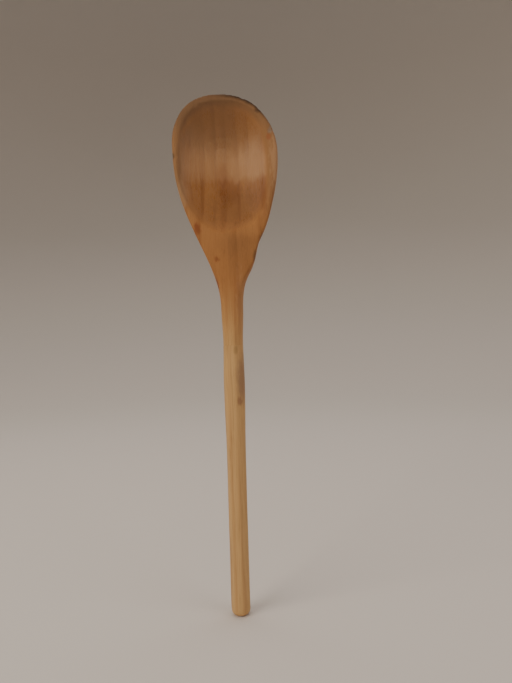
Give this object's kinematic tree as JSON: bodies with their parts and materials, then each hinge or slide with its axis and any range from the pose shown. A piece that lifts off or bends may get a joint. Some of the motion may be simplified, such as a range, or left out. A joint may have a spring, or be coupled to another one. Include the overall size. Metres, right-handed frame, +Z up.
{
  "type": "wooden cooking spoon",
  "caption": "Long-handled wooden cooking spoon with a broad oval hollow, carved head and turned handle, for stirring and serving.",
  "frame": {"origin": "on the handle's axis, half-way along the straight grip", "axes": "+Z up the handle to the tip of the head, the hollow opens towards -Y, +X to the right as seen from the hollow side"},
  "size_m": [0.0605, 0.016, 0.3],
  "materials": {
    "head_wood": "oiled and stained by use, semi-gloss in the hollow",
    "handle_wood": "bare, rubbed smooth by hands",
    "glue": "set glue, hidden inside the joint"
  },
  "bodies": {
    "root": {"bowl_head": "head_wood", "handle": "handle_wood", "glue_film": "glue"}
  },
  "joints": []
}
